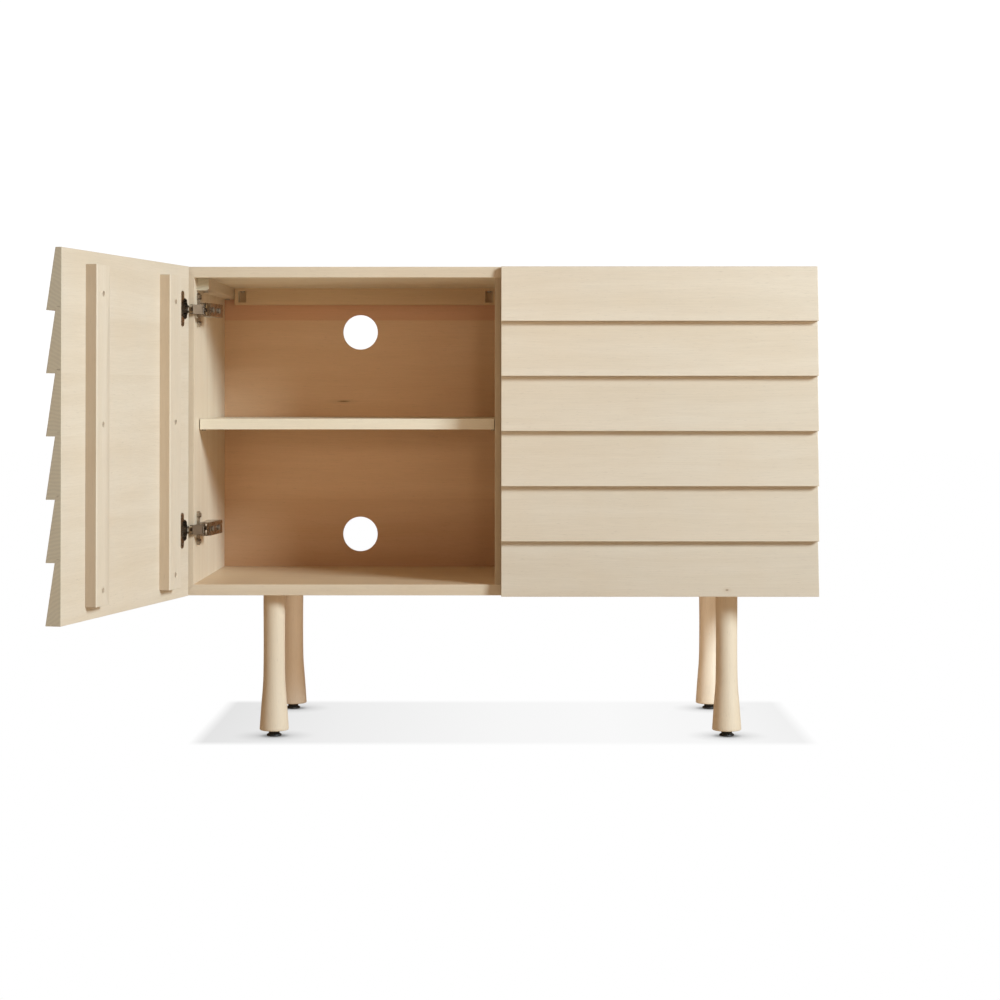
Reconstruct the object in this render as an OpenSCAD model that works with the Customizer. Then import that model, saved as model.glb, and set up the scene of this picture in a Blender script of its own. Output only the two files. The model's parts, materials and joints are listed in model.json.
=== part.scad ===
/* [Case] */
// Width of the case, outside to outside
case_w = 1054; // [900:2:1200]
// Height of the case without its legs
case_h = 546; // [480:6:600]
// Depth of the case from front edge to rear edge
case_d = 430; // [400:2:500]
// Height of the underside of the case above the floor
case_z = 239; // [200:1:300]
// Thickness of the case panels
panel_t = 18; // [16:1:22]
// Thickness of the back panel
back_t = 6; // [4:1:9]
// Distance of the back panel from the rear edges
back_inset = 12; // [8:1:20]

/* [Cable holes] */
// Diameter of the cable holes
hole_d = 63.5; // [50:0.5:70]
// Height of the upper holes above the underside of the case
hole_high = 448; // [430:1:460]
// Height of the lower holes above the underside of the case
hole_low = 77; // [70:1:100]

/* [Shelves] */
// Thickness of a shelf
shelf_t = 18; // [16:1:20]
// Distance of a shelf's front edge behind the case front
shelf_inset = 60; // [60:1:90]
// Height of a shelf's top above the underside of the case
shelf_top = 292.5; // [240:0.5:330]
// Gap at each end of a shelf
shelf_gap = 1.5; // [1:0.5:3]

/* [Cleats] */
// Width and height of the side cleats
cleat_s = 20; // [16:1:24]
// Height of the rear cleats
rear_cleat_h = 30; // [26:1:36]
// Distance of the side cleats' front ends behind the case front
cleat_inset = 30; // [25:1:50]

/* [Legs] */
// Distance of the leg axes from the case's middle, across
leg_x = 379.6; // [300:0.2:420]
// Distance of the leg axes from the case's middle, in depth
leg_y = 170.5; // [140:0.5:180]
// Height of the bottom of a leg above the floor
leg_z = 10; // [8:0.5:14]
// Radius of the slim upper part of a leg
leg_r_top = 18.2; // [16:0.2:22]
// Radius of the flared lower end of a leg
leg_r_foot = 24.4; // [20:0.2:28]

/* [Doors] */
// Number of lapped boards in a door
boards = 6; // [4:1:8]
// Width of a door
door_w = 524.5; // [440:0.5:598]
// Thickness of a board at its upper edge
board_t_top = 10; // [9:0.5:14]
// Thickness of a board at its lower lip
board_t_lip = 24; // [22:0.5:26]
// Gap between the case front and a closed door
door_gap = 2.5; // [2:0.5:4]
// Angle at which the left door stands open
open_angle = 102.3; // [0:0.1:110]

/* [Battens] */
// Width of a batten
batten_w = 50; // [40:1:60]
// Thickness of a batten
batten_t = 18; // [14:1:20]
// Length of a batten
batten_l = 506; // [420:2:520]
// Distance of the hinge-side batten from the door's hinge edge
batten_u1 = 83; // [80:1:100]
// Distance of the free-side batten from the door's hinge edge
batten_u2 = 386; // [300:1:440]

/* [Hidden] */
$fn = 48;

maple = [0.89, 0.83, 0.73];
maple_inside = [0.80, 0.66, 0.50];
steel = [0.74, 0.73, 0.70];
zinc = [0.62, 0.62, 0.60];
black = [0.06, 0.06, 0.07];

front_y = -case_d / 2;
rear_y = case_d / 2;
side_x = case_w / 2;
wall_x = side_x - panel_t;
floor_z = case_z + panel_t;
ceiling_z = case_z + case_h - panel_t;
back_y = rear_y - back_inset - back_t;
bay_w = wall_x - panel_t / 2;
bay_x = (wall_x + panel_t / 2) / 2;
// depth that a panel edge enters a groove, and the slack left around it
groove = 6;
groove_slack = 0.2;
board_h = case_h / boards;
bolt_r = 4;
insert_r = 6;
insert_l = 13;
pin_r = 2.5;

// Hinges: places in plan, measured from the side wall's inner face into the bay (first number) and
// backwards from the case front (second number)
hinge_z = [109.5, 475];
pole = [-14.7, -8.9];
outer_pivot = [15, 2.3];
outer_length = 24;
outer_closed = -154;
outer_open = -146;
inner_pivot = [17, 8];
inner_length = 28;
inner_closed = -144;
inner_open = -142;
cup_u = 21;
flange_u = 9.5;
cup_r = 17.5;
cup_t = 1;
cup_h = 12;
flange_t = 1;
rivet_r = 1.3;

// Mirrors the left-hand shape onto the right
module right_hand() { mirror([1, 0, 0]) children(); }

// Both hands of a shape
module both_hands() {
    children();
    right_hand() children();
}

// Plan coordinates of a left-hand hinge, at its height
module hinge_space(z) { translate([-wall_x, front_y, case_z + z]) children(); }

module at_hinges() { for (z = hinge_z) hinge_space(z) children(); }

// Turns a door, drawn closed, about its hinge pole: left hand
module swing(angle) {
    translate([-wall_x + pole[0], front_y + pole[1], 0]) rotate([0, 0, -angle])
        translate([wall_x - pole[0], -front_y - pole[1], 0]) children();
}

// --- case ---

// A panel with mitred ends, lying flat: width w at its outer face
module mitred_panel(w, depth) {
    translate([0, depth / 2, 0]) rotate([90, 0, 0]) linear_extrude(depth)
        polygon([[-w / 2, 0], [w / 2, 0], [w / 2 - panel_t, -panel_t], [-w / 2 + panel_t, -panel_t]]);
}

// Space taken by the back panel's edges in the panels around it
module back_groove() {
    translate([-wall_x - groove, back_y - groove_slack / 2, floor_z - groove])
        cube([2 * (wall_x + groove), back_t + groove_slack, ceiling_z - floor_z + 2 * groove]);
}

module top_panel() {
    color(maple) difference() {
        translate([0, 0, case_z + case_h]) mitred_panel(case_w, case_d);
        back_groove();
    }
}

module bottom_panel() {
    color(maple) difference() {
        translate([0, 0, case_z]) rotate([0, 180, 0]) mitred_panel(case_w, case_d);
        back_groove();
        for (x = [-leg_x, leg_x], y = [-leg_y, leg_y])
            translate([x, y, case_z - 1]) cylinder(h = insert_l + 1, r = insert_r);
    }
}

module side_panel() {
    color(maple) difference() {
        translate([-side_x, 0, case_z + case_h / 2]) rotate([0, -90, 0]) mitred_panel(case_h, case_d);
        back_groove();
        shelf_pin_holes();
        hinge_space(0) plate_screw_places() translate([-10, 0, 0]) rotate([0, 90, 0])
            cylinder(h = 11, r = 1.8);
    }
}

module left_side_panel() { side_panel(); }
module right_side_panel() { right_hand() side_panel(); }

module center_divider() {
    color(maple) difference() {
        translate([-panel_t / 2, front_y, floor_z])
            cube([panel_t, back_y - front_y, ceiling_z - floor_z]);
        both_hands() shelf_pin_holes();
        back_screw_places() cylinder(h = back_t + 20, r = 1.75);
    }
}

module back_panel() {
    color(maple_inside) difference() {
        translate([-wall_x - groove + 0.5, back_y, floor_z - groove + 0.5])
            cube([2 * (wall_x + groove) - 1, back_t, ceiling_z - floor_z + 2 * groove - 1]);
        for (x = [-bay_x, bay_x], z = [hole_low, hole_high])
            translate([x, back_y - 1, case_z + z]) rotate([-90, 0, 0])
                cylinder(h = back_t + 2, r = hole_d / 2);
        back_screw_places() translate([0, 0, -1]) cylinder(h = back_t + 2, r = 1.75);
    }
}

// --- cleats ---

// Side cleat under the top, with a small chamfer along its lower inner corner
module side_cleat() {
    chamfer = 3;
    length = back_y - front_y - cleat_inset;
    color(maple_inside) translate([-wall_x, front_y + cleat_inset, ceiling_z]) difference() {
        rotate([-90, 0, 0]) linear_extrude(length)
            polygon([
                [0, 0], [cleat_s, 0], [cleat_s, cleat_s - chamfer],
                [cleat_s - chamfer, cleat_s], [0, cleat_s]
            ]);
        for (y = [40, length - 40])
            translate([cleat_s / 2, y, -cleat_s - 1]) cleat_screw_hole(cleat_s + 2);
    }
}

module cleat_screw_hole(h) { cylinder(h = h, r = 2.3); }

rear_notch_w = 13.5;
rear_notch_h = 20.5;
rear_notch_x = [34.4, bay_w - 13];

// Rear cleat under the top with open pockets for its screws
module rear_cleat() {
    depth = 20;
    x0 = cleat_s + 0.2;
    color(maple_inside) translate([-wall_x, back_y - depth, ceiling_z - rear_cleat_h]) difference() {
        translate([x0, 0, 0]) cube([bay_w - x0, depth, rear_cleat_h]);
        for (x = rear_notch_x) {
            translate([x - rear_notch_w / 2, -1, rear_cleat_h - 5 - rear_notch_h])
                cube([rear_notch_w, 12, rear_notch_h]);
            translate([x, 5, rear_cleat_h - 6]) cleat_screw_hole(7);
        }
    }
}

module left_side_cleat() { side_cleat(); }
module right_side_cleat() { right_hand() side_cleat(); }
module left_rear_cleat() { rear_cleat(); }
module right_rear_cleat() { right_hand() rear_cleat(); }

// --- shelves ---

shelf_pin_y = [40, 300];

module shelf_body() {
    depth = back_y - front_y - shelf_inset - 2;
    color(maple) difference() {
        translate([-wall_x + shelf_gap, front_y + shelf_inset, case_z + shelf_top - shelf_t])
            cube([bay_w - 2 * shelf_gap, depth, shelf_t]);
        // recesses that keep the shelf from sliding off its pins
        for (side = [0, 1], y = shelf_pin_y)
            translate([side == 0 ? -wall_x - 1 : -panel_t / 2 - 9, front_y + shelf_inset + y, 0])
                translate([0, 0, case_z + shelf_top - shelf_t]) rotate([0, 90, 0])
                    cylinder(h = 10, r = pin_r + 0.3);
    }
}

module left_shelf() { shelf_body(); }
module right_shelf() { right_hand() shelf_body(); }

module shelf_pin_places() {
    for (y = shelf_pin_y) translate([0, front_y + shelf_inset + y, case_z + shelf_top - shelf_t]) {
        translate([-wall_x, 0, 0]) rotate([0, 90, 0]) children();
        translate([-panel_t / 2, 0, 0]) rotate([0, -90, 0]) children();
    }
}

module shelf_pin_holes() { shelf_pin_places() translate([0, 0, -8]) cylinder(h = 9, r = pin_r); }

module shelf_pins() {
    color(steel) both_hands() shelf_pin_places() {
        translate([0, 0, -8]) cylinder(h = 15, r = pin_r);
        cylinder(h = 1, r = pin_r + 0.25);
    }
}

// --- hidden fasteners of the case ---

// Countersunk wood screw pointing down, its head's top at the origin
module wood_screw(d, l) {
    rotate_extrude() polygon([[0, 0], [d, 0], [d / 2, -d / 2], [d / 2, -l + d], [0, -l]]);
}

module cleat_screws() {
    length = back_y - front_y - cleat_inset;
    color(zinc) both_hands() {
        for (y = [40, length - 40])
            translate([-wall_x + cleat_s / 2, front_y + cleat_inset + y, ceiling_z - cleat_s - 2])
                cleat_screw(cleat_s + 2);
        for (x = rear_notch_x)
            translate([-wall_x + x, back_y - 15, ceiling_z - 7]) cleat_screw(7);
    }
}

// Pan-head screw pointing up that ends at the ceiling
module cleat_screw(l) {
    cylinder(h = l, r = 2.2);
    cylinder(h = 2, r = 4);
}

// Down the rear edge of the divider
module back_screw_places() {
    for (z = [floor_z + 60, floor_z + 255, ceiling_z - 60])
        translate([0, back_y + back_t, z]) rotate([90, 0, 0]) children();
}

module back_panel_screws() {
    color(zinc) back_screw_places() {
        translate([0, 0, -2]) cylinder(h = 2, r = 3.5);
        cylinder(h = back_t + 20, r = 1.75);
    }
}

// --- legs ---

// Turned leg: slim and nearly straight, flaring to its foot
module turned_leg() {
    leg_top = case_z;
    waist = leg_r_top - 0.4;
    color(maple) difference() {
        rotate_extrude($fn = 96) polygon([
            [0, leg_z], [leg_r_foot - 2, leg_z], [leg_r_foot - 0.6, leg_z + 0.6], [leg_r_foot, leg_z + 2],
            [leg_r_foot - 0.9, leg_z + 15], [leg_r_foot - 2, leg_z + 31], [leg_r_foot - 3.4, leg_z + 49],
            [leg_r_foot - 4.9, leg_z + 67], [leg_r_foot - 5.9, leg_z + 84], [waist + 0.2, leg_z + 110],
            [waist, leg_z + 150], [leg_r_top, leg_top - 20], [leg_r_top, leg_top], [0, leg_top]
        ]);
        translate([0, 0, leg_z - 1]) cylinder(h = insert_l + 1, r = insert_r);
        translate([0, 0, leg_z]) cylinder(h = 34, r = bolt_r + 0.5);
        translate([0, 0, leg_top - 40]) cylinder(h = 41, r = bolt_r);
    }
}

module leg_front_left() { translate([-leg_x, -leg_y, 0]) turned_leg(); }
module leg_front_right() { translate([leg_x, -leg_y, 0]) turned_leg(); }
module leg_rear_left() { translate([-leg_x, leg_y, 0]) turned_leg(); }
module leg_rear_right() { translate([leg_x, leg_y, 0]) turned_leg(); }

module at_legs() { for (x = [-leg_x, leg_x], y = [-leg_y, leg_y]) translate([x, y, 0]) children(); }

module leg_hanger_bolts() {
    color(zinc) at_legs() translate([0, 0, case_z - 40]) cylinder(h = 40 + insert_l - 1, r = bolt_r);
}

// Tube with an inner thread, in the case bottom and in the foot of each leg
module insert() {
    difference() {
        cylinder(h = insert_l, r = insert_r);
        translate([0, 0, -1]) cylinder(h = insert_l + 2, r = bolt_r);
    }
}

module threaded_inserts() {
    color(zinc) at_legs() {
        translate([0, 0, case_z]) insert();
        translate([0, 0, leg_z]) difference() {
            insert();
            translate([0, 0, -1]) cylinder(h = insert_l + 2, r = bolt_r + 0.1);
        }
    }
}

// --- levellers ---

foot_r = 12.5;

module leveller_foot() {
    color(black) difference() {
        rotate_extrude() polygon([
            [0, 0], [foot_r - 1, 0], [foot_r, 1], [foot_r, 2.6], [foot_r - 0.8, 3.6],
            [9.6, 4.8], [9, 5.6], [9, 8.4], [8.4, 9], [0, 9]
        ]);
        translate([0, 0, 5]) cylinder(h = 10, r = bolt_r);
    }
}

module leveller_stud() { color(zinc) translate([0, 0, 5]) cylinder(h = 30, r = bolt_r); }

module leveller_foot_front_left() { translate([-leg_x, -leg_y, 0]) leveller_foot(); }
module leveller_foot_front_right() { translate([leg_x, -leg_y, 0]) leveller_foot(); }
module leveller_foot_rear_left() { translate([-leg_x, leg_y, 0]) leveller_foot(); }
module leveller_foot_rear_right() { translate([leg_x, leg_y, 0]) leveller_foot(); }
module leveller_stud_front_left() { translate([-leg_x, -leg_y, 0]) leveller_stud(); }
module leveller_stud_front_right() { translate([leg_x, -leg_y, 0]) leveller_stud(); }
module leveller_stud_rear_left() { translate([-leg_x, leg_y, 0]) leveller_stud(); }
module leveller_stud_rear_right() { translate([leg_x, leg_y, 0]) leveller_stud(); }

// --- doors, drawn closed on the left-hand side ---

door_x0 = -side_x + 1;
door_y0 = front_y - door_gap;
screw_z = [43, 289, 483];
tongue_y = 3;
tongue_t = 4;
tongue_h = 5;

// Profile of lapped board number n, counted from the bottom: inner face at 0, groove below, tongue on top
function board_profile(n) = concat(
    [[0, 0]],
    n > 1 ? [
        [0.1 - tongue_y, 0], [0.1 - tongue_y, tongue_h + 0.5],
        [-0.1 - tongue_y - tongue_t, tongue_h + 0.5], [-0.1 - tongue_y - tongue_t, 0]
    ] : [],
    [[-board_t_lip, 0], [-board_t_top, board_h]],
    n < boards ? [
        [-tongue_y - tongue_t, board_h], [-tongue_y - tongue_t, board_h + tongue_h],
        [-tongue_y, board_h + tongue_h], [-tongue_y, board_h]
    ] : [],
    [[0, board_h]]
);

module board(n) {
    z0 = case_z + (n - 1) * board_h;
    color(maple) translate([door_x0, door_y0, z0]) difference() {
        rotate([90, 0, 90]) linear_extrude(door_w) polygon(board_profile(n));
        for (z = hinge_z) translate([cup_u, 0, z - (n - 1) * board_h]) rotate([90, 0, 0]) {
            translate([0, 0, -1]) cylinder(h = cup_h + 1.2, r = cup_r + 0.1);
            for (s = [-1, 1])
                translate([flange_u, s * cup_screw_z, -1]) cylinder(h = cup_screw_l + 1, r = 1.5);
        }
        for (u = [batten_u1, batten_u2], z = screw_z)
            translate([u + batten_w / 2, 1, z - (n - 1) * board_h]) rotate([90, 0, 0])
                cylinder(h = 9, r = 2);
    }
}

// Raised batten across the inside of the boards
module batten(u) {
    soft = 1.5;
    z0 = case_z + (case_h - batten_l) / 2;
    color(maple) translate([door_x0 + u, door_y0, z0]) difference() {
        linear_extrude(batten_l) polygon([
            [0, 0], [batten_w, 0], [batten_w, batten_t - soft], [batten_w - soft, batten_t],
            [soft, batten_t], [0, batten_t - soft]
        ]);
        for (z = screw_z) translate([batten_w / 2, batten_t + 1, z - (case_h - batten_l) / 2])
            rotate([90, 0, 0]) {
                cylinder(h = 4, r = 4.2);
                cylinder(h = batten_t + 2, r = 2.2);
            }
    }
}

module batten_screws() {
    color(steel) for (u = [batten_u1, batten_u2], z = screw_z)
        translate([door_x0 + u + batten_w / 2, door_y0 + batten_t - 0.6, case_z + z])
            rotate([-90, 0, 0]) wood_screw(4, batten_t + 7);
}

module left_door_board_1() { swing(open_angle) board(1); }
module left_door_board_2() { swing(open_angle) board(2); }
module left_door_board_3() { swing(open_angle) board(3); }
module left_door_board_4() { swing(open_angle) board(4); }
module left_door_board_5() { swing(open_angle) board(5); }
module left_door_board_6() { swing(open_angle) board(6); }
module right_door_board_1() { right_hand() board(1); }
module right_door_board_2() { right_hand() board(2); }
module right_door_board_3() { right_hand() board(3); }
module right_door_board_4() { right_hand() board(4); }
module right_door_board_5() { right_hand() board(5); }
module right_door_board_6() { right_hand() board(6); }
module left_door_hinge_batten() { swing(open_angle) batten(batten_u1); }
module left_door_free_batten() { swing(open_angle) batten(batten_u2); }
module right_door_hinge_batten() { right_hand() batten(batten_u1); }
module right_door_free_batten() { right_hand() batten(batten_u2); }
module left_batten_screws() { swing(open_angle) batten_screws(); }
module right_batten_screws() { right_hand() batten_screws(); }

// --- hinges ---

plate_y = 37;
plate_block_y = [14, 74];
plate_block_t = 9;
wing_t = 5;
adjusting_y = [22, 64];
cup_screw_z = 22.5;
cup_screw_l = 8;
cup_a = cup_u - panel_t + 1;
plate_screw_z = 22;

module plate_screw_places() {
    for (z = hinge_z, s = [-1, 1]) translate([0, plate_y, z + s * plate_screw_z]) children();
}

// Cast mounting plate: two wings on the wall and a raised block under the arm
module hinge_plate() {
    difference() {
        union() {
            for (s = [-1, 1]) translate([0, plate_y, s * plate_screw_z]) rotate([0, 90, 0])
                cylinder(h = wing_t, r = 6.5);
            translate([0, plate_y - 4.5, -plate_screw_z]) cube([wing_t - 0.5, 9, 2 * plate_screw_z]);
            translate([0, plate_block_y[0], -7])
                cube([plate_block_t, plate_block_y[1] - plate_block_y[0], 14]);
        }
        for (s = [-1, 1]) translate([-1, plate_y, s * plate_screw_z]) rotate([0, 90, 0])
            cylinder(h = wing_t + 2, r = 2);
        for (y = adjusting_y) translate([3, y, 0]) rotate([0, 90, 0]) cylinder(h = 7, r = 2.4);
    }
}

module hinge_plates() { color(steel) both_hands() at_hinges() hinge_plate(); }

module hinge_plate_screws() {
    color(steel) both_hands() at_hinges() for (s = [-1, 1])
        translate([0, plate_y, s * plate_screw_z]) rotate([0, 90, 0]) {
            translate([0, 0, -9]) cylinder(h = 9 + wing_t, r = 1.75);
            difference() {
                translate([0, 0, wing_t]) cylinder(h = 2.2, r = 4);
                translate([-2.8, -0.5, wing_t + 1]) cube([5.6, 1, 2]);
                translate([-0.5, -2.8, wing_t + 1]) cube([1, 5.6, 2]);
            }
        }
}

arm_h = 22;
arm_t = 1.5;
arm_heel = [26.7, 12];
arm_tail = [36, 92];

// Height of the arm's outer face above the wall, y behind the case front
function arm_top(y) =
    arm_heel[0] + (y - arm_heel[1]) * (arm_tail[0] - arm_heel[0]) / (arm_tail[1] - arm_heel[1]);

// Pressed channel, open towards the wall: a nose at the links, a slot behind it, and a body that rises
// over the plate
module arm_body() {
    difference() {
        translate([0, 0, -arm_h / 2]) linear_extrude(arm_h) polygon([
            [9, -0.4], [20, -0.4], [24, 8], arm_heel, arm_tail, [33, 96],
            [10.5, 96], [10.5, 30], [8.5, 12], [8, 3]
        ]);
        translate([0, 0, -arm_h / 2 + arm_t]) linear_extrude(arm_h - 2 * arm_t) polygon([
            [-5, -10], [18.5, -10], [22.5, 8.6], arm_heel + [-arm_t, 0.4], arm_tail + [-arm_t, -0.8],
            [32.2, 94.5], [-5, 94.5]
        ]);
        translate([arm_heel[0] - 6, arm_heel[1] - 3.6, -5]) cube([8, 3.4, 10]);
        for (y = adjusting_y) translate([arm_top(y) - 5, y, 0]) rotate([0, 90, 0]) cylinder(h = 10, r = 3);
        for (p = [outer_pivot, inner_pivot]) translate([p[0], p[1], -arm_h])
            cylinder(h = 2 * arm_h, r = rivet_r);
    }
}

module hinge_arms() { color(steel) both_hands() at_hinges() arm_body(); }

module hinge_adjusting_screws() {
    head_a = 0.7;
    color(zinc) both_hands() at_hinges() for (y = adjusting_y)
        translate([arm_top(y) + head_a, y, 0]) rotate([0, 90, 0]) {
            translate([0, 0, 3 - arm_top(y) - head_a]) cylinder(h = arm_top(y) + head_a - 3, r = 2.4);
            difference() {
                cylinder(h = 2.2, r = 4.5);
                translate([-3.2, -0.6, 1.2]) cube([6.4, 1.2, 2]);
                translate([-0.6, -3.2, 1.2]) cube([1.2, 6.4, 2]);
            }
        }
}

module hinge_pins() {
    color(steel) both_hands() at_hinges() for (p = [outer_pivot, inner_pivot])
        translate([p[0], p[1], -arm_h / 2 - 0.8]) cylinder(h = arm_h + 1.6, r = rivet_r);
}

// Cup and flange, drawn on the closed door, with two lugs at the rim that flank the inner link
module hinge_cup() {
    lug_t = 3.3;
    lug_z = 4.35;
    translate([cup_a, -door_gap, 0]) rotate([90, 0, 0]) {
        difference() {
            union() {
                cylinder(h = cup_h, r = cup_r);
                translate([0, 0, -flange_t]) {
                    difference() {
                        cylinder(h = flange_t + 1, r = cup_r);
                        translate([-cup_r - 1, -cup_r, -1]) cube([cup_r - 10, 2 * cup_r, flange_t + 1]);
                    }
                    translate([flange_u - 7, -cup_screw_z, 0]) cube([14, 2 * cup_screw_z, flange_t]);
                    for (s = [-1, 1])
                        translate([flange_u, s * cup_screw_z, 0]) cylinder(h = flange_t, r = 7);
                }
            }
            translate([0, 0, -2]) cylinder(h = cup_h - cup_t + 2, r = cup_r - cup_t);
            for (s = [-1, 1]) translate([flange_u, s * cup_screw_z, -2]) cylinder(h = 4, r = 1.8);
        }
        for (s = [-1, 1]) translate([0, s * lug_z - lug_t / 2, 0]) {
            translate([-cup_r - 0.7, 0, -2.1]) cube([7.2, lug_t, 2.1]);
            translate([-cup_r + 1.3, 0, -0.5]) cube([5.2, lug_t, 8.5]);
        }
    }
}

module cup_screws() {
    for (s = [-1, 1]) translate([cup_a + flange_u, -door_gap, s * cup_screw_z]) rotate([90, 0, 0]) {
        cylinder(h = cup_screw_l, r = 1.5);
        translate([0, 0, -flange_t]) cylinder(h = flange_t, r = 1.7);
        translate([0, 0, -flange_t - 0.9]) cylinder(h = 0.9, r = 3.4);
    }
}

module left_hinge_cups() { color(steel) swing(open_angle) at_hinges() hinge_cup(); }
module right_hinge_cups() { color(steel) right_hand() at_hinges() hinge_cup(); }
module left_hinge_cup_screws() { color(steel) swing(open_angle) at_hinges() cup_screws(); }
module right_hinge_cup_screws() { color(steel) right_hand() at_hinges() cup_screws(); }

// Flat lever from its pivot, with round ends: length is measured to its tip
module lever(length, r, h) {
    translate([0, 0, -h / 2]) {
        difference() {
            union() {
                cylinder(h = h, r = r);
                translate([0, -r, 0]) cube([length - r, 2 * r, h]);
                translate([length - r, 0, 0]) cylinder(h = h, r = r);
            }
            translate([0, 0, -1]) cylinder(h = h + 2, r = rivet_r + 0.05);
        }
    }
}

// Link on its arm pivot at a fraction of the opening angle, 0 closed and 1 open
module on_arm(pivot, closed, opened, turn) {
    translate([pivot[0], pivot[1], 0]) rotate([0, 0, closed + (opened - closed) * turn]) children();
}

// Two side levers joined by a plate along their front edges
module outer_link() {
    side_t = 1.4;
    side_z = 7;
    plate_x = 3;
    plate_l = 18;
    plate_edge = 3.4;
    for (s = [-1, 1]) translate([0, 0, s * side_z]) {
        lever(outer_length, 2.2, side_t);
        translate([plate_x, 0, -side_t / 2]) cube([plate_l, plate_edge, side_t]);
    }
    translate([plate_x, plate_edge - 1.2, -side_z - side_t / 2])
        cube([plate_l, 1.2, 2 * side_z + side_t]);
}

module inner_link() { lever(inner_length, 1.8, 5); }

// share of the hinge's travel at which the left door stands
open_travel = 102.3;
left_turn = open_angle / open_travel;

module left_hinge_outer_links() {
    color(steel) at_hinges() on_arm(outer_pivot, outer_closed, outer_open, left_turn) outer_link();
}
module right_hinge_outer_links() {
    color(steel) right_hand() at_hinges() on_arm(outer_pivot, outer_closed, outer_open, 0) outer_link();
}
module left_hinge_inner_links() {
    color(steel) at_hinges() on_arm(inner_pivot, inner_closed, inner_open, left_turn) inner_link();
}
module right_hinge_inner_links() {
    color(steel) right_hand() at_hinges() on_arm(inner_pivot, inner_closed, inner_open, 0) inner_link();
}

top_panel();
bottom_panel();
left_side_panel();
right_side_panel();
center_divider();
back_panel();
left_side_cleat();
right_side_cleat();
left_rear_cleat();
right_rear_cleat();
left_shelf();
right_shelf();
shelf_pins();
cleat_screws();
back_panel_screws();
leg_front_left();
leg_front_right();
leg_rear_left();
leg_rear_right();
leg_hanger_bolts();
threaded_inserts();
leveller_foot_front_left();
leveller_foot_front_right();
leveller_foot_rear_left();
leveller_foot_rear_right();
leveller_stud_front_left();
leveller_stud_front_right();
leveller_stud_rear_left();
leveller_stud_rear_right();
left_door_board_1();
left_door_board_2();
left_door_board_3();
left_door_board_4();
left_door_board_5();
left_door_board_6();
right_door_board_1();
right_door_board_2();
right_door_board_3();
right_door_board_4();
right_door_board_5();
right_door_board_6();
left_door_hinge_batten();
left_door_free_batten();
right_door_hinge_batten();
right_door_free_batten();
left_batten_screws();
right_batten_screws();
hinge_plates();
hinge_arms();
hinge_plate_screws();
hinge_adjusting_screws();
hinge_pins();
left_hinge_cups();
right_hinge_cups();
left_hinge_cup_screws();
right_hinge_cup_screws();
left_hinge_outer_links();
right_hinge_outer_links();
left_hinge_inner_links();
right_hinge_inner_links();
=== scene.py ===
import math
import json
import bpy
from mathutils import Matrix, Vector


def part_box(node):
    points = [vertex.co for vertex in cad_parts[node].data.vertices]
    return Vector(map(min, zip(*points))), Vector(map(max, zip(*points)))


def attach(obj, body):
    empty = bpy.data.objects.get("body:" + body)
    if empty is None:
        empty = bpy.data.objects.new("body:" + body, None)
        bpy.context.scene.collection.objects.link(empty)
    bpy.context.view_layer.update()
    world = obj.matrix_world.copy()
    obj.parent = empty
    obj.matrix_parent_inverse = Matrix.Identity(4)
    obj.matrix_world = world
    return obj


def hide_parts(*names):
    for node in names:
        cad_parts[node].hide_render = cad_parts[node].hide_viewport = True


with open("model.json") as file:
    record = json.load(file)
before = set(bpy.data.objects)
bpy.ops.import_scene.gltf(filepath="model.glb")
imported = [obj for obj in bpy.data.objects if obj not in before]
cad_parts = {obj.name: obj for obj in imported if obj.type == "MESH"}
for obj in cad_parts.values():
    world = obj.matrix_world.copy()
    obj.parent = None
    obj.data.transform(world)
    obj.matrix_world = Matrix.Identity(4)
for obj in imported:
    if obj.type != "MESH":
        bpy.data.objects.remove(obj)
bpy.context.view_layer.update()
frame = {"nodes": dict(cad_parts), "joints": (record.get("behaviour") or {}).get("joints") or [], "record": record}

nodes = frame["nodes"]
joints = {joint["name"]: joint for joint in frame["joints"]}
bodies = frame["record"]["behaviour"]["bodies"]
body_of = {node: body for body, members in bodies.items() for node in members}
slot_of = {part["node"]: part["material_slot"] for part in frame["record"]["subparts"]}

MM = 0.001

# The left door stands open by this angle from closed, about its hinge's axis
LEFT_DOOR_ANGLE = -math.radians(-joints["left_door_hinge"]["range_deg"][0])


# --- small tools ---


def deselect():
    bpy.ops.object.select_all(action="DESELECT")


def activate(piece):
    deselect()
    piece.select_set(True)
    bpy.context.view_layer.objects.active = piece


def edit(piece, select="SELECT"):
    activate(piece)
    bpy.ops.object.mode_set(mode="EDIT")
    bpy.ops.mesh.select_all(action=select)


def leave_edit():
    bpy.ops.object.mode_set(mode="OBJECT")


def apply_place(piece):
    activate(piece)
    bpy.ops.object.transform_apply(location=True, rotation=True, scale=True)


def apply_modifiers(piece):
    activate(piece)
    for modifier in list(piece.modifiers):
        bpy.ops.object.modifier_apply(modifier=modifier.name)


def smooth(piece, angle):
    activate(piece)
    bpy.ops.object.shade_smooth_by_angle(angle=math.radians(angle))


SAME_POINT = 0.005 * MM
SAME_PLANE = math.radians(0.4)
SHARP_TURN = math.radians(20)
# Less than the turn from a flat face to its eased edge, so that flat faces keep a level shine
EASED_SMOOTH_ANGLE = 10
TURNED_SMOOTH_ANGLE = 30


def node_copy(node, name):
    """A separate, merged copy of a CAD node's mesh, with its flat faces whole."""
    piece = bpy.data.objects.new(name, nodes[node].data.copy())
    bpy.context.scene.collection.objects.link(piece)
    piece.data.materials.clear()
    edit(piece)
    bpy.ops.mesh.remove_doubles(threshold=SAME_POINT)
    bpy.ops.mesh.dissolve_limited(angle_limit=SAME_PLANE)
    leave_edit()
    return piece


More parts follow.
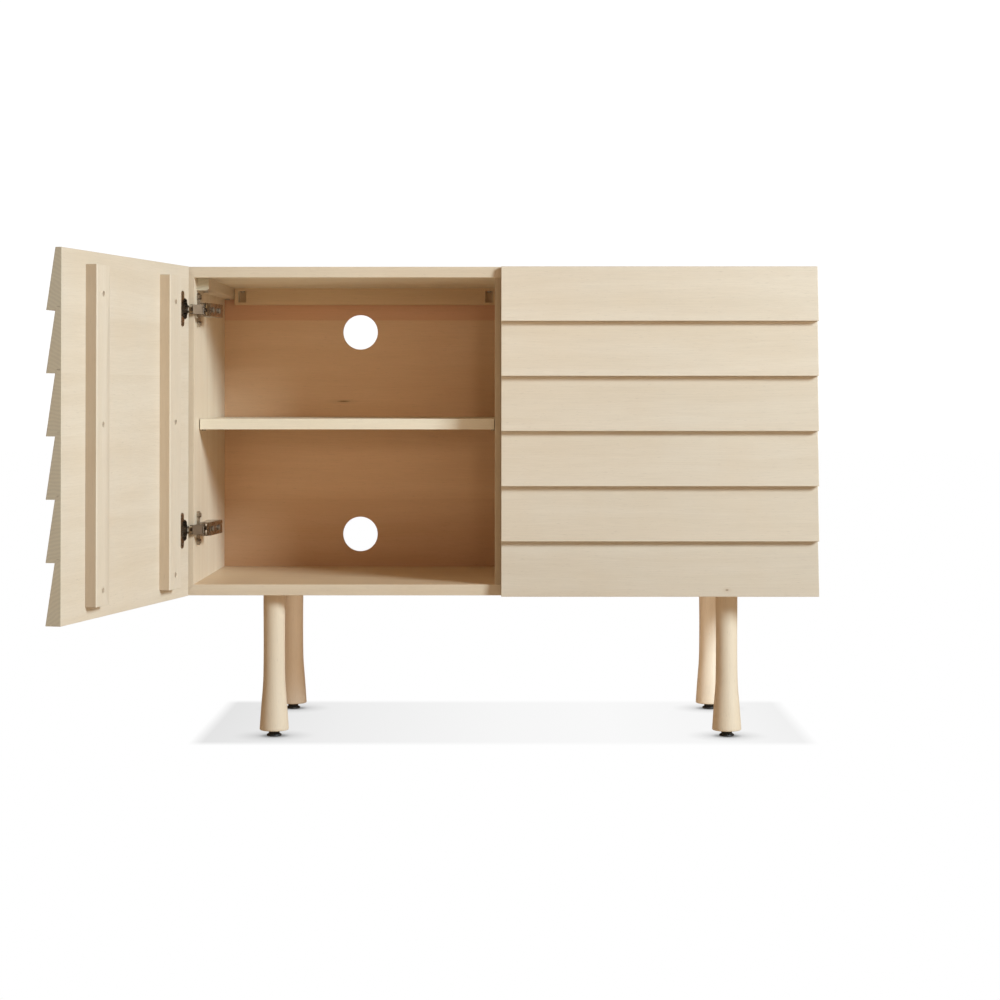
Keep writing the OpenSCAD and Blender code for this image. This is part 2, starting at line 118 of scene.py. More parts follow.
def ease_edges(piece, width, shortest, keep=None):
    """Rounds the sharp edges longer than shortest, apart from those that keep(a, b) says to leave sharp."""
    edit(piece, "DESELECT")
    bpy.ops.mesh.select_mode(type="EDGE")
    bpy.ops.mesh.edges_select_sharp(sharpness=SHARP_TURN)
    leave_edit()
    mesh = piece.data
    weights = mesh.attributes.new("bevel_weight_edge", "FLOAT", "EDGE")
    for edge in mesh.edges:
        a, b = (mesh.vertices[v].co for v in edge.vertices)
        chosen = edge.select and (a - b).length > shortest and not (keep and keep(a, b))
        weights.data[edge.index].value = 1.0 if chosen else 0.0
    bevel = piece.modifiers.new("eased edges", "BEVEL")
    bevel.limit_method = "WEIGHT"
    bevel.width = width
    bevel.segments = 2
    apply_modifiers(piece)


def stand_for(piece, node, material):
    """The piece takes the CAD node's place and body, and the given material."""
    piece.data.materials.clear()
    piece.data.materials.append(material)
    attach(piece, body_of[node])
    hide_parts(node)


def eased(node, material, width=0.8 * MM, shortest=5 * MM, keep=None):
    piece = node_copy(node, node + "_eased")
    ease_edges(piece, width, shortest, keep)
    smooth(piece, EASED_SMOOTH_ANGLE)
    stand_for(piece, node, material)
    return piece


def turned(name, place, rings, sides=64):
    """A turned shape that stands on +Z: rings are (radius, height above place)."""
    x, y, z = place
    radius, height = rings[0]
    bpy.ops.mesh.primitive_circle_add(
        vertices=sides, radius=radius, fill_type="NGON", location=(x, y, z + height)
    )
    piece = bpy.context.object
    piece.name = name
    edit(piece)
    for next_radius, next_height in rings[1:]:
        bpy.ops.mesh.extrude_region_move(TRANSFORM_OT_translate={"value": (0, 0, next_height - height)})
        ratio = next_radius / radius
        bpy.ops.transform.resize(value=(ratio, ratio, 1), center_override=(x, y, z + next_height))
        radius, height = next_radius, next_height
    bpy.ops.mesh.select_all(action="SELECT")
    bpy.ops.mesh.normals_make_consistent(inside=False)
    leave_edit()
    apply_place(piece)
    smooth(piece, TURNED_SMOOTH_ANGLE)
    return piece


# --- shader node groups ---


def new_group(name, inputs, outputs):
    group = bpy.data.node_groups.new(name, "ShaderNodeTree")
    for socket, kind, value in inputs:
        made = group.interface.new_socket(socket, in_out="INPUT", socket_type=kind)
        if value is not None:
            made.default_value = value
    for socket, kind in outputs:
        group.interface.new_socket(socket, in_out="OUTPUT", socket_type=kind)
    start = group.nodes.new("NodeGroupInput")
    end = group.nodes.new("NodeGroupOutput")
    return group, start.outputs, end.inputs


def add(tree, kind, **settings):
    node = tree.nodes.new(kind)
    for key, value in settings.items():
        if key.startswith("in_"):
            node.inputs[key[3:]].default_value = value
        else:
            setattr(node, key, value)
    return node


def math_node(tree, operation, a, b=None, clamp=False):
    node = add(tree, "ShaderNodeMath", operation=operation, use_clamp=clamp)
    for socket, value in zip(node.inputs, (a, b)):
        if isinstance(value, bpy.types.NodeSocket):
            tree.links.new(value, socket)
        elif value is not None:
            socket.default_value = value
    return node.outputs[0]


def stretched_noise(tree, vector, scale, along, across, detail=3.0, roughness=0.55, distortion=0.0):
    """Noise drawn out along X: along and across are repeats a metre."""
    mapping = add(tree, "ShaderNodeMapping", in_Scale=(along, across, across))
    noise = add(
        tree, "ShaderNodeTexNoise", in_Scale=scale, in_Detail=detail, in_Roughness=roughness,
        in_Distortion=distortion,
    )
    tree.links.new(vector, mapping.inputs["Vector"])
    tree.links.new(mapping.outputs[0], noise.inputs["Vector"])
    return noise.outputs["Fac"]


def spread(tree, value, low, high):
    """Stretches the range low to high over 0 to 1."""
    node = add(tree, "ShaderNodeMapRange", clamp=True)
    node.inputs["From Min"].default_value = low
    node.inputs["From Max"].default_value = high
    tree.links.new(value, node.inputs["Value"])
    return node.outputs[0]


def mix_colour(tree, factor, a, b, blend="MIX"):
    node = add(tree, "ShaderNodeMix", data_type="RGBA", blend_type=blend)
    for index, value in ((0, factor), (6, a), (7, b)):
        if isinstance(value, bpy.types.NodeSocket):
            tree.links.new(value, node.inputs[index])
        else:
            node.inputs[index].default_value = value
    return node.outputs[2]


def tinted(tree, colour, factor, tint):
    """The colour, multiplied by the tint as far as the factor says."""
    darker = mix_colour(tree, 1.0, colour, (*tint, 1), "MULTIPLY")
    return mix_colour(tree, factor, colour, darker)


def grain_group():
    """Plain-sawn maple with its grain along X: broad figure, fine fibres, flecks and end-grain rings."""
    group, given, result = new_group(
        "maple grain",
        [("Vector", "NodeSocketVector", None), ("Normal", "NodeSocketVector", None)],
        [(name, "NodeSocketFloat") for name in ("Figure", "Fibre", "Fleck", "Rings", "End")],
    )
    vector = given["Vector"]
    sway = add(group, "ShaderNodeTexNoise", in_Scale=2.2, in_Detail=2.0)
    group.links.new(vector, sway.inputs["Vector"])
    moved = add(group, "ShaderNodeVectorMath", operation="MULTIPLY_ADD")
    group.links.new(sway.outputs["Color"], moved.inputs[0])
    moved.inputs[1].default_value = (0.0, 0.03, 0.03)
    group.links.new(vector, moved.inputs[2])
    figure = stretched_noise(group, moved.outputs[0], 1.0, 1.4, 26.0, 4.0, 0.6, 0.4)
    group.links.new(spread(group, figure, 0.3, 0.7), result["Figure"])
    fibre = stretched_noise(group, moved.outputs[0], 1.0, 16.0, 620.0, 3.0, 0.7)
    group.links.new(spread(group, fibre, 0.25, 0.75), result["Fibre"])
    fleck = stretched_noise(group, vector, 1.0, 90.0, 1100.0, 1.0, 0.5)
    group.links.new(spread(group, fleck, 0.66, 0.78), result["Fleck"])
    rings = add(
        group, "ShaderNodeTexWave", wave_type="RINGS", rings_direction="X", in_Scale=55.0,
        in_Distortion=3.0, in_Detail=2.0,
    )
    rings.inputs["Detail Scale"].default_value = 1.2
    centred = add(group, "ShaderNodeMapping", in_Location=(0.0, 0.05, 0.22), in_Scale=(0.0, 1.0, 1.0))
    group.links.new(vector, centred.inputs["Vector"])
    group.links.new(centred.outputs[0], rings.inputs["Vector"])
    group.links.new(rings.outputs["Fac"], result["Rings"])
    parts = add(group, "ShaderNodeSeparateXYZ")
    group.links.new(given["Normal"], parts.inputs[0])
    facing = math_node(group, "ABSOLUTE", parts.outputs["X"])
    group.links.new(spread(group, facing, 0.75, 0.9), result["End"])
    return group


def smudge_group():
    """Slow, faint unevenness: handling marks and dust for any finish."""
    group, given, result = new_group(
        "smudges", [("Vector", "NodeSocketVector", None), ("Scale", "NodeSocketFloat", 30.0)],
        [("Broad", "NodeSocketFloat"), ("Fine", "NodeSocketFloat")],
    )
    for name, factor, detail in (("Broad", 1.0, 3.0), ("Fine", 9.0, 5.0)):
        noise = add(group, "ShaderNodeTexNoise", in_Detail=detail, in_Roughness=0.6)
        group.links.new(math_node(group, "MULTIPLY", given["Scale"], factor), noise.inputs["Scale"])
        group.links.new(given["Vector"], noise.inputs["Vector"])
        group.links.new(spread(group, noise.outputs["Fac"], 0.3, 0.7), result[name])
    return group


GRAIN = grain_group()
SMUDGES = smudge_group()


def new_material(name):
    material = bpy.data.materials.new(name)
    material.use_nodes = True
    tree = material.node_tree
    shader = tree.nodes["Principled BSDF"]
    place = add(tree, "ShaderNodeTexCoord")
    return material, tree, shader, place


def use_group(tree, group, vector, **values):
    node = add(tree, "ShaderNodeGroup", node_tree=group)
    for key, value in values.items():
        node.inputs[key].default_value = value
    tree.links.new(vector, node.inputs["Vector"])
    return node


def faces_along(tree, place, direction):
    """1 on the faces that look along a direction, either way, else 0."""
    dot = add(tree, "ShaderNodeVectorMath", operation="DOT_PRODUCT")
    tree.links.new(place.outputs["Normal"], dot.inputs[0])
    dot.inputs[1].default_value = direction
    return spread(tree, math_node(tree, "ABSOLUTE", dot.outputs["Value"]), 0.7, 0.9)


def knot(tree, place, body, centre, length, height):
    """A small dark knot, length along X and height along Z."""
    scale = (2 / length, 0.0, 2 / height)
    moved = add(tree, "ShaderNodeMapping", in_Scale=scale)
    moved.inputs["Location"].default_value = (-centre[0] * scale[0], 0.0, -centre[2] * scale[2])
    tree.links.new(place.outputs["Object"], moved.inputs["Vector"])
    reach = add(tree, "ShaderNodeVectorMath", operation="LENGTH")
    tree.links.new(moved.outputs[0], reach.inputs[0])
    inside = spread(tree, reach.outputs["Value"], 1.0, 0.25)
    ring = spread(tree, reach.outputs["Value"], 2.6, 0.9)
    halo = math_node(tree, "MULTIPLY", ring, 0.18)
    body = mix_colour(tree, halo, body, (0.40, 0.24, 0.12, 1))
    core = math_node(tree, "MULTIPLY", inside, 0.75)
    return mix_colour(tree, core, body, (0.22, 0.12, 0.055, 1))


# How strongly each mark of the grain shows, from 0 to 1
FIGURE_SHOWS = 0.55
FIBRES_SHOW = 0.16
FLECKS_SHOW = 0.24
WARM_PATCHES_SHOW = 0.16
RINGS_SHOW = 0.3
END_GRAIN = (0.68, 0.63, 0.50)
LACQUER_ROUGHNESS = 0.42
FIBRE_ROUGHNESS = 0.12
GRAIN_RELIEF = 0.04 * MM


def rgba(colour, factor=1.0):
    return (*[c * factor for c in colour], 1)


def set_roughness(tree, shader, mask, base, extra):
    """Roughness base, plus extra where the mask is 1."""
    rough = math_node(tree, "MULTIPLY_ADD", mask, extra)
    rough.node.inputs[2].default_value = base
    tree.links.new(rough, shader.inputs["Roughness"])


def set_relief(tree, shader, height, strength, depth):
    bump = add(tree, "ShaderNodeBump", in_Strength=strength, in_Distance=depth)
    tree.links.new(height, bump.inputs["Height"])
    tree.links.new(bump.outputs[0], shader.inputs["Normal"])


def maple(name, turn, shift, light, dark, faced=None, painted_light_tint=(1, 1, 1), knots=()):
    """Lacquered maple. turn brings the grain's direction onto X, and shift picks another piece of the log.

    faced, if given, is a direction: the faces along it take the face tint, which is painted light or shade.
    knots are (centre, length, height) of small dark knots.
    """
    material, tree, shader, place = new_material(name)
    aligned = add(tree, "ShaderNodeMapping", in_Location=shift, in_Rotation=turn)
    tree.links.new(place.outputs["Object"], aligned.inputs["Vector"])
    normal = add(tree, "ShaderNodeMapping", vector_type="NORMAL", in_Rotation=turn)
    tree.links.new(place.outputs["Normal"], normal.inputs["Vector"])
    grain = use_group(tree, GRAIN, aligned.outputs[0])
    tree.links.new(normal.outputs[0], grain.inputs["Normal"])
    smudges = use_group(tree, SMUDGES, place.outputs["Object"], Scale=9.0)
    body = mix_colour(tree, grain.outputs["Figure"], rgba(light), rgba(dark))
    body = mix_colour(tree, FIGURE_SHOWS, rgba(light), body)
    fibre = math_node(tree, "MULTIPLY", grain.outputs["Fibre"], FIBRES_SHOW)
    body = mix_colour(tree, fibre, body, rgba(dark, 0.55))
    fleck = math_node(tree, "MULTIPLY", grain.outputs["Fleck"], FLECKS_SHOW)
    body = mix_colour(tree, fleck, body, rgba(dark, 0.45))
    warm = math_node(tree, "MULTIPLY", smudges.outputs["Broad"], WARM_PATCHES_SHOW)
    body = mix_colour(tree, warm, body, (dark[0] * 1.05, dark[1] * 0.96, dark[2] * 0.85, 1))
    for centre, length, height in knots:
        body = knot(tree, place, body, centre, length, height)
    # Painted light or shade on the faces along the given direction
    if faced:
        body = tinted(tree, body, faces_along(tree, place, faced), painted_light_tint)
    rings = math_node(tree, "MULTIPLY", grain.outputs["Rings"], RINGS_SHOW)
    ends = mix_colour(tree, rings, rgba(END_GRAIN), rgba(END_GRAIN, 0.72))
    ends = mix_colour(tree, warm, ends, (END_GRAIN[0] * 1.15, END_GRAIN[1] * 0.95, END_GRAIN[2] * 0.72, 1))
    colour = mix_colour(tree, grain.outputs["End"], body, ends)
    tree.links.new(colour, shader.inputs["Base Color"])
    set_roughness(tree, shader, grain.outputs["Fibre"], LACQUER_ROUGHNESS, FIBRE_ROUGHNESS)
    height = math_node(tree, "SUBTRACT", grain.outputs["Fibre"], grain.outputs["Fleck"])
    set_relief(tree, shader, height, 0.35, GRAIN_RELIEF)
    shader.inputs["Coat Weight"].default_value = 0.08
    shader.inputs["Coat Roughness"].default_value = 0.35
    shader.inputs["Specular IOR Level"].default_value = 0.4
    return material


def plated(name, colour, worn, roughness):
    """Plated steel with faint polishing marks and duller patches."""
    material, tree, shader, place = new_material(name)
    smudges = use_group(tree, SMUDGES, place.outputs["Object"], Scale=60.0)
    tone = mix_colour(tree, smudges.outputs["Broad"], rgba(colour), rgba(worn))
    tree.links.new(tone, shader.inputs["Base Color"])
    set_roughness(tree, shader, smudges.outputs["Fine"], roughness, 0.14)
    set_relief(tree, shader, smudges.outputs["Fine"], 0.08, 0.02 * MM)
    shader.inputs["Metallic"].default_value = 1.0
    return material


def moulded(name, colour, dust):
    """Moulded plastic with a fine texture and dusty patches."""
    material, tree, shader, place = new_material(name)
    smudges = use_group(tree, SMUDGES, place.outputs["Object"], Scale=80.0)
    dusty = math_node(tree, "MULTIPLY", smudges.outputs["Broad"], 0.25)
    tone = mix_colour(tree, dusty, rgba(colour), rgba(dust))
    tree.links.new(tone, shader.inputs["Base Color"])
    set_roughness(tree, shader, smudges.outputs["Fine"], 0.38, 0.2)
    set_relief(tree, shader, smudges.outputs["Fine"], 0.3, 0.03 * MM)
    return material


NICKEL = plated("nickel-plated steel", (0.55, 0.49, 0.42), (0.30, 0.25, 0.20), 0.20)
# Painted shade: the hinge links' nickel darker and browner, as in the door's shade
NICKEL_PAINTED_SHADE = plated("nickel links in painted shade", (0.175, 0.122, 0.082), (0.13, 0.09, 0.06), 0.34)
SATIN = plated("satin screw heads", (0.86, 0.80, 0.70), (0.76, 0.70, 0.61), 0.50)
ZINC = plated("zinc-plated steel", (0.50, 0.47, 0.43), (0.38, 0.35, 0.31), 0.30)
NYLON = moulded("black nylon", (0.012, 0.012, 0.013), (0.09, 0.09, 0.095))

ALONG_X = (0, 0, 0)
ALONG_Z = (0, math.radians(90), 0)
ALONG_LEFT_DOOR = (0, 0, -LEFT_DOOR_ANGLE)


def log_shift(index):
    """Another place in the log for each piece, so that no two look alike."""
    return (0.37 * index, 0.213 * (index % 7), 0.171 * (index % 5))


# --- case ---

SHELL = dict(light=(0.80, 0.69, 0.54), dark=(0.68, 0.54, 0.39))
# Redder than the case's wood: painted warm light, for light bounced round inside the case
PANEL_WARM_PAINTED_LIGHT = dict(light=(0.92, 0.63, 0.405), dark=(0.80, 0.505, 0.285))
SHELF = dict(light=(0.92, 0.84, 0.69), dark=(0.80, 0.70, 0.54))
# Redder than the case's wood: painted warm light on the rear cleats inside the case
CLEAT_WARM_PAINTED_LIGHT = dict(light=(0.90, 0.66, 0.42), dark=(0.80, 0.54, 0.31))
# Painted shadow of the top panel on the back panel, above 709 mm
TOP_PAINTED_SHADOW_TINT = (0.95, 0.82, 0.80)
# Painted shade on the back panel below 381 mm
LOW_STRIP_PAINTED_SHADE_TINT = (0.96, 0.94, 0.92)
# Painted shade on the back panel, darkening downwards from 400 mm to 260 mm
LOW_PAINTED_SHADE_TINT = (0.76, 0.68, 0.62)
# Painted light on the faces that look up or down: the top panel's paler, for light on its underside, and the
# bottom panel's warmer
PAINTED_LIGHT_LEVEL_FACE_TINTS = {"top_panel": (1.22, 1.26, 1.26), "bottom_panel": (1.06, 0.96, 0.84)}
# Painted shade: the divider's front and back edges darker, for the right door's shadow on its front edge
PAINTED_SHADE_DIVIDER_EDGE_TINT = (0.76, 0.70, 0.62)
# Painted light: the side panels' broad faces paler, for light on the inside of the walls
PAINTED_LIGHT_SIDE_FACE_TINT = (1.20, 1.22, 1.24)


def back_panel_material():
    """The wood, redder than the case's as painted warm light, with painted shade by height: darker and redder
    above 709 mm where the top panel's shadow falls, a little darker below 381 mm, and darkening downwards from 400
    mm to 260 mm.
    """
    knots = [((-0.29, 0, 0.56), 0.028, 0.004)]
    material = maple("back panel maple", ALONG_X, log_shift(3), knots=knots, **PANEL_WARM_PAINTED_LIGHT)
    tree = material.node_tree
    shader = tree.nodes["Principled BSDF"]
    parts = add(tree, "ShaderNodeSeparateXYZ")
    tree.links.new(tree.nodes["Texture Coordinate"].outputs["Object"], parts.inputs[0])
    height = parts.outputs["Z"]
    colour = shader.inputs["Base Color"].links[0].from_socket
    # Painted shade by height: the top panel's shadow at the top, then darker tones low down
    colour = tinted(tree, colour, spread(tree, height, 0.708, 0.710), TOP_PAINTED_SHADOW_TINT)
    colour = tinted(tree, colour, spread(tree, height, 0.382, 0.380), LOW_STRIP_PAINTED_SHADE_TINT)
    colour = tinted(tree, colour, spread(tree, height, 0.40, 0.26), LOW_PAINTED_SHADE_TINT)
    tree.links.new(colour, shader.inputs["Base Color"])
    return material


def make_case():
    for index, node in enumerate(("top_panel", "bottom_panel")):
        # Painted light on the panel's level faces
        tint = PAINTED_LIGHT_LEVEL_FACE_TINTS[node]
        wood = maple(node + " maple", ALONG_X, log_shift(index), faced=(0, 0, 1), painted_light_tint=tint, **SHELL)
        eased(node, wood, 0.6 * MM)
    for index, node in enumerate(("left_shelf", "right_shelf")):
        eased(node, maple(node + " maple", ALONG_X, log_shift(index + 2), **SHELF), 0.6 * MM)
    for index, node in enumerate(("left_rear_cleat", "right_rear_cleat")):
        eased(node, maple(node + " maple", ALONG_X, log_shift(index + 5), **CLEAT_WARM_PAINTED_LIGHT), 0.6 * MM)
    for index, node in enumerate(("left_side_panel", "right_side_panel")):
        shift = log_shift(index + 9)
        wood = maple(node + " maple", ALONG_Z, shift, faced=(1, 0, 0), painted_light_tint=PAINTED_LIGHT_SIDE_FACE_TINT, **SHELL)
        eased(node, wood, 0.6 * MM)
    wood = maple(
        "divider maple", ALONG_Z, log_shift(11), faced=(0, 1, 0), painted_light_tint=PAINTED_SHADE_DIVIDER_EDGE_TINT, **SHELL
    )
    eased("center_divider", wood, 0.6 * MM)
    eased("back_panel", back_panel_material(), 0.5 * MM, 2 * MM)
    for index, node in enumerate(("left_side_cleat", "right_side_cleat")):
        turn = (0, 0, math.radians(90))
        eased(node, maple(node + " maple", turn, log_shift(index + 14), **SHELL), 0.6 * MM)


# --- legs ---

LEG_RINGS = (
    (22.4, 0), (23.8, 0.6), (24.4, 2.0), (23.5, 15), (22.4, 31), (21.0, 49), (19.5, 67), (18.5, 84),
    (18.0, 110), (17.8, 150), (18.2, 209), (18.2, 229),
)


def smooth_rings(points, steps=5):
    """Radii between the given ones, on one smooth curve."""
    rings = []
    for index in range(len(points) - 1):
        before = points[max(index - 1, 0)]
        start, end = points[index], points[index + 1]
        after = points[min(index + 2, len(points) - 1)]
        for step in range(steps):
            t = step / steps
            slope_a = (end[0] - before[0]) / (end[1] - before[1])
            slope_b = (after[0] - start[0]) / (after[1] - start[1])
            span = end[1] - start[1]
            radius = (
                (2 * t**3 - 3 * t**2 + 1) * start[0] + (t**3 - 2 * t**2 + t) * span * slope_a
                + (3 * t**2 - 2 * t**3) * end[0] + (t**3 - t**2) * span * slope_b
            )
            rings.append((radius * MM, (start[1] + span * t) * MM))
    rings.append((points[-1][0] * MM, points[-1][1] * MM))
    return rings


# The rear legs are paler: painted light, standing in for the light that the case's shadow keeps from them
LEG_WOOD_PAINTED_LIGHT = {
    "front": dict(light=(0.87, 0.76, 0.60), dark=(0.74, 0.60, 0.44)),
    "rear": dict(light=(0.95, 0.86, 0.72), dark=(0.86, 0.74, 0.58)),
}


def make_legs():
    rings = smooth_rings(LEG_RINGS[2:])
    foot = [(radius * MM, height * MM) for radius, height in LEG_RINGS[:2]]
    for index, corner in enumerate(("front_left", "front_right", "rear_left", "rear_right")):
        low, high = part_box("leg_" + corner)
        middle = (low + high) / 2
        leg = turned("turned_leg_" + corner, (middle.x, middle.y, low.z), foot + rings, 96)
        shift = (0.4 * index, -middle.y + 0.02, middle.x + 0.03 * index)
        # Painted light: the rear legs take paler wood
        wood = LEG_WOOD_PAINTED_LIGHT[corner.split("_")[0]]
        stand_for(leg, "leg_" + corner, maple("leg maple " + corner, ALONG_Z, shift, **wood))


# --- levelling feet ---

FOOT_RINGS = (
    (11.0, 0), (12.0, 0.3), (12.5, 1.0), (12.5, 2.4), (12.2, 3.0), (11.4, 3.5), (10.0, 4.3),
    (9.2, 5.2), (9.0, 5.8), (9.0, 8.3), (8.7, 8.8), (8.2, 9.0), (4.1, 9.0),
)


def make_feet():
    rings = [(radius * MM, height * MM) for radius, height in FOOT_RINGS]
    for corner in ("front_left", "front_right", "rear_left", "rear_right"):
        low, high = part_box("leveller_foot_" + corner)
        middle = (low + high) / 2
        foot = turned("glide_" + corner, (middle.x, middle.y, low.z), rings, 64)
        stand_for(foot, "leveller_foot_" + corner, NYLON)


# --- doors ---

BOARD_LIGHT = (0.86, 0.765, 0.635)
BOARD_DARK = (0.74, 0.62, 0.47)
# Painted shade: how pale each board of the right door is, from the bottom up, darker lower down where less light
# falls
PAINTED_SHADE_BOARD_TONES = (0.86, 0.91, 0.93, 0.95, 0.99, 1.0)
# Painted shade on the battens' sides, the free batten's darker
PAINTED_SHADE_BATTEN_SIDE_TINTS = {"hinge": (0.80, 0.73, 0.65), "free": (0.70, 0.64, 0.58)}
BOARD_KNOTS = {"right_door_board_1": [((0.374, 0, 0.250), 0.007, 0.004)]}
BOTTOM_BOARD = 1
TOP_BOARD = 6
# How deep the tongues and grooves lie behind the inner face, and the longest edge of a tongue or a cup's cut
LAP_DEPTH = 9 * MM
SHORT_EDGE = 20 * MM
LEVEL = 0.2 * MM


def board_wood(tone=1.0):
    return dict(light=tuple(c * tone for c in BOARD_LIGHT), dark=tuple(c * tone for c in BOARD_DARK))


def door_plan(angle):
    """Unit directions of a door turned by the angle: along its width, and out of its inner face."""
    along_width = Vector((math.cos(angle), math.sin(angle), 0))
    inward = Vector((-math.sin(angle), math.cos(angle), 0))
    return along_width, inward


def seam_keeper(node, n, inward):
    """Says which edges of board n stay sharp: the short ones, and the level ones where two boards meet."""
    low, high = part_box(node)
    corners = [nodes[node].matrix_world @ v.co for v in nodes[node].data.vertices]
    face = max(c.dot(inward) for c in corners)

    def keep(a, b):
        middle = (a + b) / 2
        level = abs(a.z - b.z) < LEVEL
        inner = face - middle.dot(inward) < LAP_DEPTH
        under = n == BOTTOM_BOARD and middle.z < low.z + MM
        over = n == TOP_BOARD and middle.z > high.z - MM
        short = (a - b).length < SHORT_EDGE
        return short or (level and inner and not under and not over)

    return keep


def make_doors():
    for side, turn, angle in (("left", ALONG_LEFT_DOOR, LEFT_DOOR_ANGLE), ("right", ALONG_X, 0.0)):
        along_width, inward = door_plan(angle)
        for n in range(BOTTOM_BOARD, TOP_BOARD + 1):
            node = f"{side}_door_board_{n}"
            # Painted shade: the lower boards of the right door darker
            tone = PAINTED_SHADE_BOARD_TONES[n - 1] if side == "right" else 1.0
            shift = log_shift(n + (20 if side == "left" else 30))
            name = node.replace("_", " ") + " maple"
            knots = BOARD_KNOTS.get(node, ())
            material = maple(name, turn, shift, knots=knots, **board_wood(tone))
            eased(node, material, 0.8 * MM, 8 * MM, seam_keeper(node, n, inward))
        for index, place in enumerate(("hinge", "free")):
            node = f"{side}_door_{place}_batten"
            sides = dict(faced=tuple(along_width), painted_light_tint=PAINTED_SHADE_BATTEN_SIDE_TINTS[place])
            name = f"{side} {place} batten maple"
            wood = maple(name, ALONG_Z, log_shift(index + 41), **board_wood(), **sides)
            eased(node, wood, 0.5 * MM)


# --- metalwork ---


def plain_metal(node):
    if "batten_screws" in node:
        return SATIN
    return NICKEL if slot_of[node] == "nickel_steel" else ZINC


def make_metalwork():
    """Eased hinge parts, then a metal for every CAD piece that is still in view."""
    for node in ("hinge_plates", "hinge_arms", "left_hinge_cups", "right_hinge_cups"):
        eased(node, NICKEL, 0.35 * MM, 1.2 * MM)
    # The hinge links take nickel darkened as painted shade
    for side in ("left", "right"):
        for link in ("outer", "inner"):
            eased(f"{side}_hinge_{link}_links", NICKEL_PAINTED_SHADE, 0.25 * MM, 1.2 * MM)
    for node, piece in nodes.items():
        if not piece.hide_render:
            piece.data.materials.clear()
            piece.data.materials.append(plain_metal(node))


# --- studio ---

WALLS_COLOUR = (1.0, 0.64, 0.38)
WALLS_STRENGTH = 0.28
BACKDROP_STRENGTH = 1.05
FLOOR_SIZE = 40
FLOOR_BOUNCE = (0.75, 0.62, 0.48)

KEY_PLACE = (4.4, -4.1, 2.96)
KEY_AIM = (0, 0, 0.5)
KEY_SIZE = (1.7, 1.7)
KEY_COLOUR = (0.78, 0.92, 1.0)
KEY_WATTS = 398

STRIP_PLACE = (0, -0.12, 0.11)
STRIP_AIM = (0, 1, 0.11)
STRIP_SIZE = (0.9, 0.1)
STRIP_COLOUR = (0.92, 0.86, 0.76)
STRIP_WATTS = 0.31

SPOT_PLACE = (0.3, -4.2, 1.0)
SPOT_AIM = (-0.20, -0.05, 0.58)
SPOT_COLOUR = (1.0, 0.80, 0.58)
SPOT_WATTS = 64
SPOT_ANGLE = math.radians(7.5)

# The shade under the case: its start, end and softness along each axis, and its tones from left to right
SHADE_REACH = (("X", -0.501, 0.512, 0.012), ("Y", -0.260, 0.259, 0.02))
SHADE_TONES = ((0.0, 0.775), (0.22, 0.86), (0.5, 0.925), (0.68, 0.945), (0.85, 0.925), (1.0, 0.875))
CONTACT_REACH = 0.05


def shade_under_case(tree, parts):
    """A soft-edged rectangle, whose tone changes from left to right, on white."""
    inside = 1.0
    for axis, start, end, soft in SHADE_REACH:
        for edge in (
            spread(tree, parts.outputs[axis], start - soft, start + soft),
            spread(tree, parts.outputs[axis], end + soft, end - soft),
        ):
            inside = math_node(tree, "MULTIPLY", edge, inside)
    across = add(tree, "ShaderNodeValToRGB")
    for position, tone in SHADE_TONES[1:-1]:
        across.color_ramp.elements.new(position)
    for element, (position, tone) in zip(across.color_ramp.elements, SHADE_TONES):
        element.position = position
        element.color = (tone, tone, tone, 1)
    tree.links.new(spread(tree, parts.outputs["X"], -0.5, 0.51), across.inputs[0])
    return mix_colour(tree, inside, (1, 1, 1, 1), across.outputs[0])


def mix_by_camera(tree, seen, lit, output):
    """What the camera sees directly, and what lights and reflections meet."""
    path = add(tree, "ShaderNodeLightPath")
    mix = add(tree, "ShaderNodeMixShader")
    tree.links.new(path.outputs["Is Camera Ray"], mix.inputs[0])
    tree.links.new(lit.outputs[0], mix.inputs[1])
    tree.links.new(seen.outputs[0], mix.inputs[2])
    tree.links.new(mix.outputs[0], output.inputs[0])


def floor_material():
    """White studio floor, evenly lit for the camera, with a faint shade under the case and at the feet."""
    material, tree, shader, place = new_material("studio floor")
    tree.nodes.remove(shader)
    parts = add(tree, "ShaderNodeSeparateXYZ")
    tree.links.new(place.outputs["Object"], parts.inputs[0])
    contact = add(tree, "ShaderNodeAmbientOcclusion", samples=8)
    contact.inputs["Distance"].default_value = CONTACT_REACH
    open_sky = math_node(tree, "POWER", contact.outputs["AO"], 0.8)
    tone = mix_colour(tree, open_sky, (0.02, 0.02, 0.02, 1), shade_under_case(tree, parts))
    seen = add(tree, "ShaderNodeEmission")
    tree.links.new(tone, seen.inputs["Color"])
    lit = add(tree, "ShaderNodeBsdfDiffuse", in_Color=(*FLOOR_BOUNCE, 1))
    mix_by_camera(tree, seen, lit, tree.nodes["Material Output"])
    return material


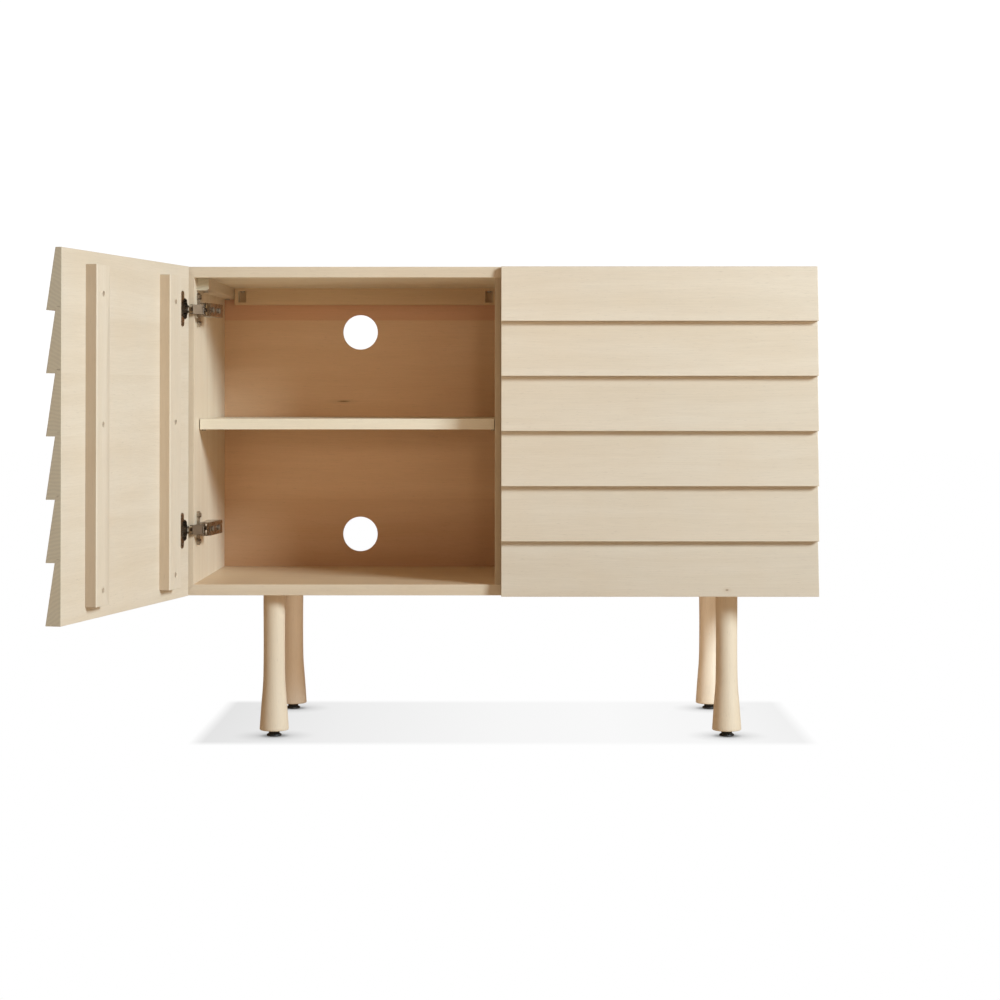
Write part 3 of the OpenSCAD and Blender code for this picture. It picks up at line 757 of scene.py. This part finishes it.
def set_up_lamp(name, light, place, aim, watts, colour):
    light.energy = watts
    light.color = colour
    lamp = bpy.data.objects.new(name, light)
    bpy.context.scene.collection.objects.link(lamp)
    lamp.location = place
    lamp.rotation_euler = (Vector(aim) - Vector(place)).to_track_quat("-Z", "Y").to_euler()
    lamp.visible_camera = False


def softbox(name, place, aim, size, watts, colour):
    light = bpy.data.lights.new(name, "AREA")
    light.shape = "RECTANGLE"
    light.size, light.size_y = size
    set_up_lamp(name, light, place, aim, watts, colour)


def make_floor():
    bpy.ops.mesh.primitive_plane_add(size=FLOOR_SIZE, location=(0, 0, 0))
    floor = bpy.context.object
    floor.name = "studio_floor"
    floor.data.materials.append(floor_material())


def make_walls():
    world = bpy.data.worlds.new("studio")
    bpy.context.scene.world = world
    world.use_nodes = True
    tree = world.node_tree
    tree.nodes.clear()
    seen = add(tree, "ShaderNodeBackground", in_Color=(1, 1, 1, 1), in_Strength=BACKDROP_STRENGTH)
    lit = add(tree, "ShaderNodeBackground", in_Color=(*WALLS_COLOUR, 1), in_Strength=WALLS_STRENGTH)
    mix_by_camera(tree, seen, lit, add(tree, "ShaderNodeOutputWorld"))


def make_lights():
    softbox("key", KEY_PLACE, KEY_AIM, KEY_SIZE, KEY_WATTS, KEY_COLOUR)
    softbox("rear leg strip", STRIP_PLACE, STRIP_AIM, STRIP_SIZE, STRIP_WATTS, STRIP_COLOUR)
    spot = bpy.data.lights.new("bay spot", "SPOT")
    spot.spot_size = SPOT_ANGLE
    spot.spot_blend = 0.5
    spot.shadow_soft_size = 0.25
    set_up_lamp("bay spot", spot, SPOT_PLACE, SPOT_AIM, SPOT_WATTS, SPOT_COLOUR)


def make_camera():
    """Level with the shelf, almost square to the front, with a small shift."""
    data = bpy.data.cameras.new("camera")
    data.sensor_width = 36
    data.lens = 83.13
    data.shift_x = -0.0043
    data.shift_y = -0.1353
    camera = bpy.data.objects.new("camera", data)
    bpy.context.scene.collection.objects.link(camera)
    camera.location = (0.0159, -4.0529, 0.5721)
    camera.rotation_euler = (math.pi / 2 + 0.0130, 0, 0.0024)
    bpy.context.scene.camera = camera
    bpy.context.scene.view_settings.view_transform = "Standard"


make_case()
make_legs()
make_feet()
make_doors()
make_metalwork()
make_floor()
make_walls()
make_lights()
make_camera()
